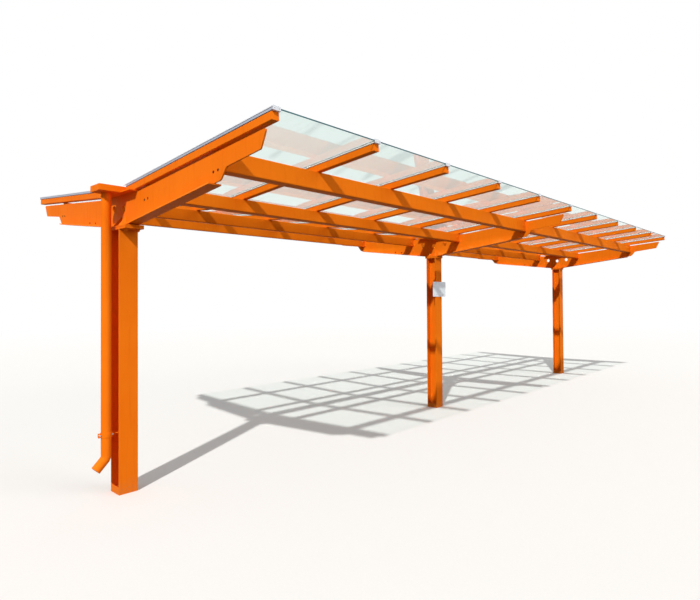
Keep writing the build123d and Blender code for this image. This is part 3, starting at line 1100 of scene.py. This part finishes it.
for side in SIDES:
    cap_seals(side)
    inner, outer = bar_edges(side, BAR_HALF), roof_ends(side)
    cover = standing_strip(SIDE_COVER, BAR_FOOT + FOOT_GASKET, GLASS_LOW - SEAM, SOFT_ARRIS)
    side_strips("bar_covers", side, inner, cover, bar_metal)
    foot = standing_strip(FOOT_GASKET_PROUD, BAR_FOOT + SEAM, BAR_FOOT + FOOT_GASKET - SEAM, SOFT_ARRIS)
    side_strips("foot_gaskets", side, inner, foot, rubber)
    trim = standing_strip(TRIM_THICK, BAR_FOOT + TRIM_FOOT, GLASS_TOP - 2 * SEAM, METAL_ARRIS)
    side_strips("edge_trim", side, outer, trim, trim_metal)
    gasket = standing_strip(EDGE_GASKET, BAR_FOOT + SEAM, BAR_FOOT + TRIM_FOOT - SEAM, SOFT_ARRIS)
    side_strips("edge_gasket", side, outer, gasket, rubber)
    glass_edges(side)


# Notice plate

NOTICE_LOW, NOTICE_HIGH = Vector((-152, 0, 1645)) * MM, Vector((182, 0, 1864)) * MM
NOTICE_THICK = 3 * MM
NOTICE_CORNER = 10 * MM
NOTICE_RIVET = 5 * MM
RIVET_PLACES = [(x * MM, z * MM) for x in (-55, 55) for z in (1672, 1837)]


def rounded_plate(name, low, high, face_y, thick, corner, edge=SOFT_ARRIS, steps=5):
    """A sheet with rounded corners in x and z, from y = face_y outwards to -Y."""
    outline = []
    left, right, foot, top = low.x + corner, high.x - corner, low.z + corner, high.z - corner
    for x, z, start in ((right, top, 0.0), (left, top, 0.5), (left, foot, 1.0), (right, foot, 1.5)):
        for k in range(steps + 1):
            angle = math.pi * (start + 0.5 * k / steps)
            outline.append((x + corner * math.cos(angle), z + corner * math.sin(angle)))
    form = bmesh.new()
    centre = ((low.x + high.x) / 2, (low.z + high.z) / 2)
    rings = []
    for y, shrink in ((face_y, 0), (face_y - thick + edge, 0), (face_y - thick, edge)):
        ring = []
        for x, z in outline:
            inward = Vector((centre[0] - x, centre[1] - z)).normalized() * shrink
            ring.append(form.verts.new((x + inward.x, y, z + inward.y)))
        rings.append(ring)
    closed_block(form, rings)
    mesh = mesh_from(name, form)
    smooth_by_angle(mesh, 40.0)
    return add_object(name, mesh)


notice = rounded_plate("notice_plate", NOTICE_LOW, NOTICE_HIGH, -COLUMN_HALF, NOTICE_THICK, NOTICE_CORNER)
fit(notice, plate_white)
rivet_spots = [((x, -COLUMN_HALF - NOTICE_THICK, z), (0, -1, 0)) for x, z in RIVET_PLACES]
fixings("plate_screws", rivet_head, NOTICE_RIVET, rivet_spots)


# Stage, light and camera

FLOOR_REACH = 150.0
FLOOR_FADE = (9.0, 26.0)
SENSOR_WIDTH = 36.0
# The photograph's own camera, in metres, degrees and pixels
PHOTO_WIDTH = 700.0
PHOTO_HEIGHT = 600.0
FOCAL_LENGTH = 532.838
MIDDLE_ROW = 290.486
CAMERA_PLACE = (-6.7315, -4.5197, 1.6237)
CAMERA_TURNS = (42.855, 0.874, -0.371)
CAMERA_SIGHT = 400.0


def seen_directly(tree):
    """1 for what the camera sees, also through glass or mirrored in metal, and 0 for what only lights."""
    path = add_node(tree, "ShaderNodeLightPath").outputs
    shows = maths(tree, "ADD", path["Is Camera Ray"], path["Is Transmission Ray"], clamp=True)
    shows = maths(tree, "ADD", shows, path["Is Glossy Ray"], clamp=True)
    return maths(tree, "MULTIPLY", shows, maths(tree, "LESS_THAN", path["Diffuse Depth"], 0.5))


def pale_floor():
    """Pale to the eye, but greyer for the light that it throws back, so that undersides stay shaded."""
    material, tree, shader = new_material("pale floor", Roughness=0.9, Specular_IOR_Level=0.2)
    place = place_of(tree)
    tooth = noise(tree, place, 60.0, 3.0, 0.6)
    pale = blend_colour(tree, tooth, (0.80, 0.80, 0.79), (0.84, 0.84, 0.83))
    feed(tree, shader, Base_Color=blend_colour(tree, seen_directly(tree), (0.12, 0.12, 0.12), pale))
    far = add_node(tree, "ShaderNodeVectorMath", operation="LENGTH")
    join(tree, place, far.inputs[0])
    white = add_node(tree, "ShaderNodeEmission")
    feed(tree, white, Strength=span(tree, seen_directly(tree), 0.0, 1.0, 0.15, 1.0, smooth=False))
    fade = span(tree, far.outputs["Value"], *FLOOR_FADE)
    surface = mix_shaders(tree, fade, shader.outputs[0], white.outputs[0])
    join(tree, surface, tree.nodes["Material Output"].inputs["Surface"])
    return material


def make_floor():
    """One wide pale sheet under the part."""
    form = bmesh.new()
    bmesh.ops.create_grid(form, x_segments=1, y_segments=1, size=FLOOR_REACH)
    floor = add_object("floor", mesh_from("floor", form))
    floor.data.materials.append(pale_floor())


def make_world():
    """White to the eye and through the glass, and a plain soft fill for everything else."""
    world = bpy.data.worlds.new("studio")
    world.use_nodes = True
    tree = world.node_tree
    strength = span(tree, seen_directly(tree), 0.0, 1.0, 0.42, 1.0, smooth=False)
    feed(tree, tree.nodes["Background"], Color=(1.0, 1.0, 1.0), Strength=strength)
    bpy.context.scene.world = world


def make_lamp(name, towards, energy, degrees, colour=(1.0, 1.0, 1.0), mirrored=True):
    """A far lamp that shines along a direction; the wider it is, the softer its shadows."""
    light = bpy.data.lights.new(name, "SUN")
    light.energy, light.angle, light.color = energy, math.radians(degrees), colour
    lamp = bpy.data.objects.new(name, light)
    lamp.rotation_mode = "QUATERNION"
    lamp.rotation_quaternion = Vector(towards).to_track_quat("-Z", "Y")
    lamp.visible_glossy = mirrored
    bpy.context.scene.collection.objects.link(lamp)


def make_camera():
    """Stands about 2 m outside the near end on the right, at eye height."""
    heading, pitch, roll = (math.radians(a) for a in CAMERA_TURNS)
    level = Vector((math.cos(heading), math.sin(heading), 0))
    across = Vector((math.sin(heading), -math.cos(heading), 0))
    up = Vector((0, 0, 1))
    ahead = level * math.cos(pitch) + up * math.sin(pitch)
    up = up * math.cos(pitch) - level * math.sin(pitch)
    right = across * math.cos(roll) + up * math.sin(roll)
    up = up * math.cos(roll) - across * math.sin(roll)
    data = bpy.data.cameras.new("camera")
    data.sensor_width = SENSOR_WIDTH
    data.lens = FOCAL_LENGTH * SENSOR_WIDTH / PHOTO_WIDTH
    data.shift_y = (MIDDLE_ROW - PHOTO_HEIGHT / 2) / PHOTO_WIDTH
    data.clip_end = CAMERA_SIGHT
    camera = bpy.data.objects.new("camera", data)
    turn = Matrix((right, up, -ahead)).transposed().to_4x4()
    camera.matrix_world = Matrix.Translation(CAMERA_PLACE) @ turn
    bpy.context.scene.collection.objects.link(camera)
    bpy.context.scene.camera = camera


make_floor()
make_world()
# High over the near end's right side, as the photograph's shadows fall, and a soft one from the right
make_lamp("sun", (1.9, 1.0, -1.8), energy=3.4, degrees=1.3, colour=(1.0, 0.975, 0.94))
make_lamp("soft_lamp", (-0.45, 1.0, -0.35), energy=1.0, degrees=40.0, mirrored=False)
make_camera()
bpy.context.scene.view_settings.view_transform = "Standard"
